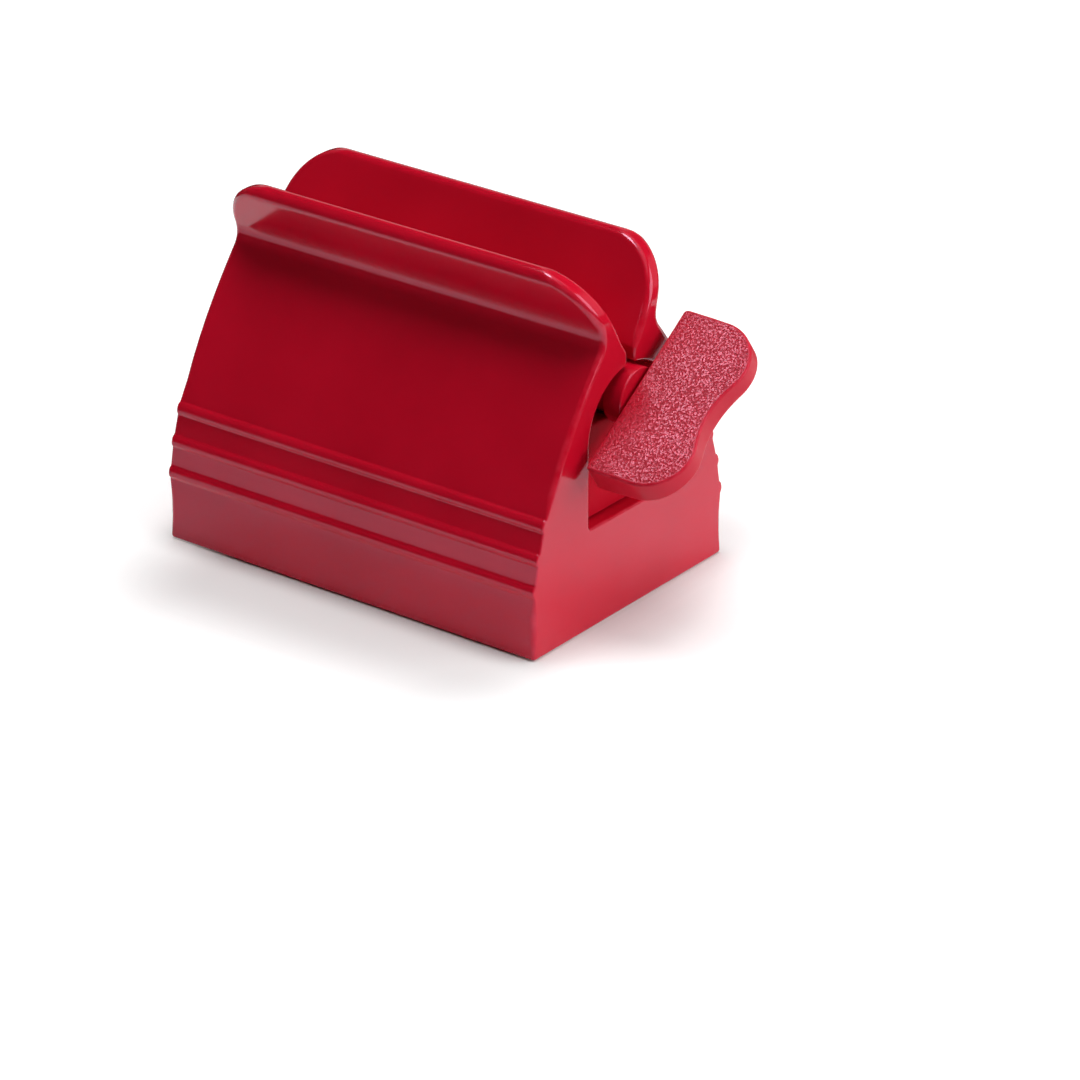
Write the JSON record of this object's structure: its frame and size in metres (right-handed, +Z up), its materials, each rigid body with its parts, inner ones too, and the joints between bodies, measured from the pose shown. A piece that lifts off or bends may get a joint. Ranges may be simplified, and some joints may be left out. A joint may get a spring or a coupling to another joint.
{
  "type": "toothpaste tube squeezer",
  "caption": "Free-standing tube squeezer: a body with two flared jaws forming a funnel over a roll tunnel, and a winding key with a thumb handle that turns in it and draws out of the end.",
  "frame": {"origin": "middle of the bounding box's footprint, on the surface the body stands on", "axes": "+X along the key towards its handle, +Y through the depth, +Z up; the pictured long side faces -Y"},
  "size_m": [0.08, 0.0438, 0.0516],
  "materials": {
    "body_red": "high-gloss moulded red plastic",
    "inner_red": "semi-gloss moulded red plastic",
    "key_red": "gloss moulded red plastic",
    "grip_red": "fine leather-grain texture with a smooth rim"
  },
  "bodies": {
    "body": {"body_shell": "body_red", "tail_bearing": "inner_red"},
    "cradle": {"bearing_saddle": "inner_red"},
    "key": {"key_shaft": "key_red", "key_handle": "grip_red"}
  },
  "joints": [
    {"name": "key_draw", "type": "slide", "parent": "body", "child": "cradle", "axis": [1, 0, 0], "range_m": [0, 0.064]},
    {"name": "key_turn", "type": "hinge", "parent": "cradle", "child": "key", "pos_m": [0.0217, 0, 0.03205], "axis": [1, 0, 0], "continuous": true}
  ]
}
